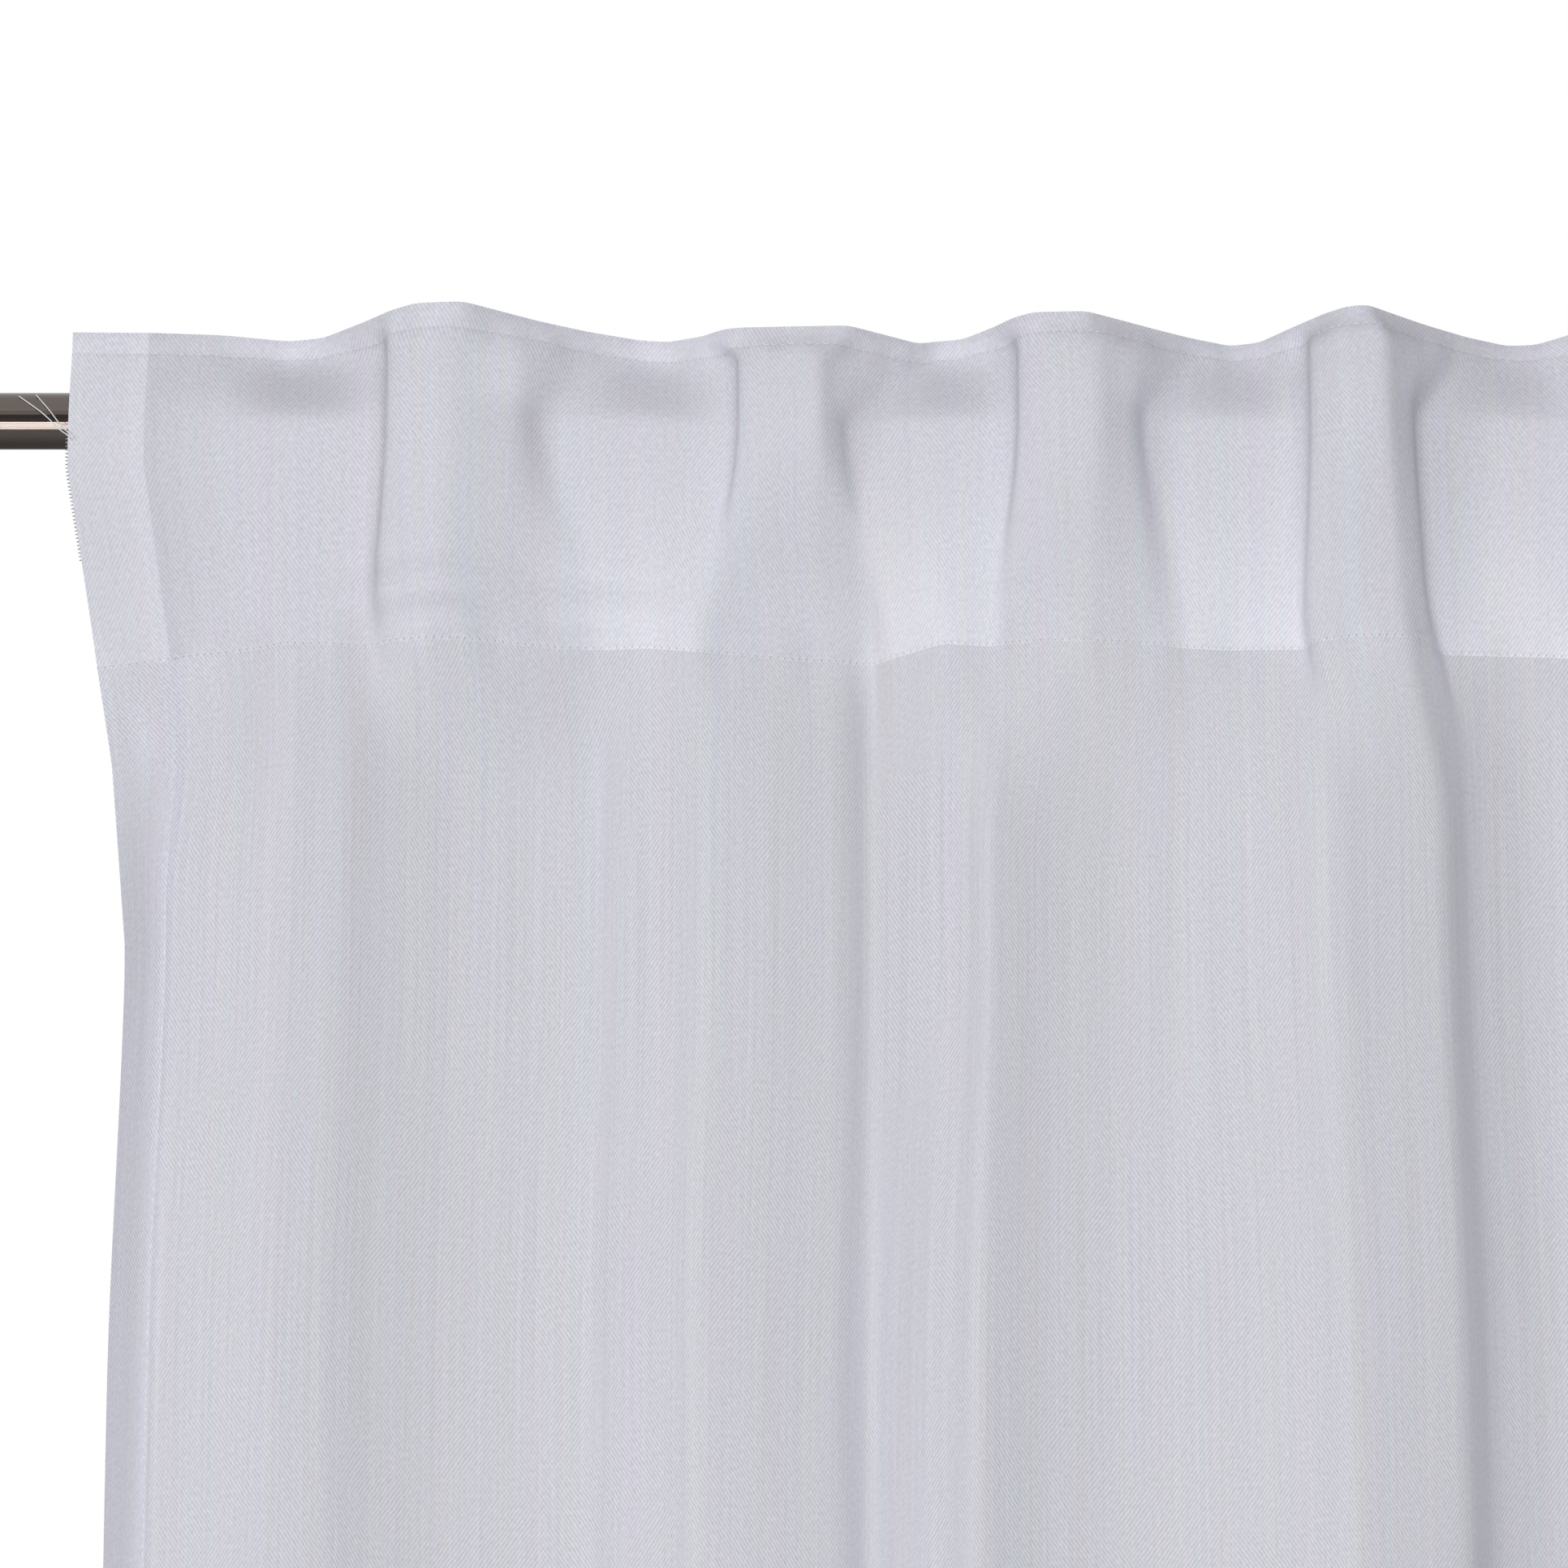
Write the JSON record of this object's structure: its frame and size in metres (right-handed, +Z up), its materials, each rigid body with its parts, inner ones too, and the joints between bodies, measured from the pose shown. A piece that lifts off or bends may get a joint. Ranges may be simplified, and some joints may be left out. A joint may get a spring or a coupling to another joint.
{
  "type": "sheer voile curtain on rod",
  "caption": "White sheer voile curtain with a wide sewn heading, hung in soft uneven folds from a plain round steel rod by bands hidden behind the heading.",
  "frame": {"origin": "middle of the rod's axis", "axes": "+X along the rod to the curtain's right as seen from the room, -Y towards the room, +Z up"},
  "size_m": [1.3, 0.0629, 2.4541],
  "materials": {
    "voile": "matt, fine open weave",
    "tape": "matt, close weave",
    "steel": "brushed"
  },
  "bodies": {
    "root": {"curtain_panel": "voile", "heading_tape": "tape", "loop_01": "tape", "loop_02": "tape", "loop_03": "tape", "loop_04": "tape", "loop_05": "tape", "loop_06": "tape", "loop_07": "tape", "loop_08": "tape", "loop_09": "tape", "loop_10": "tape", "rod": "steel"}
  },
  "joints": []
}
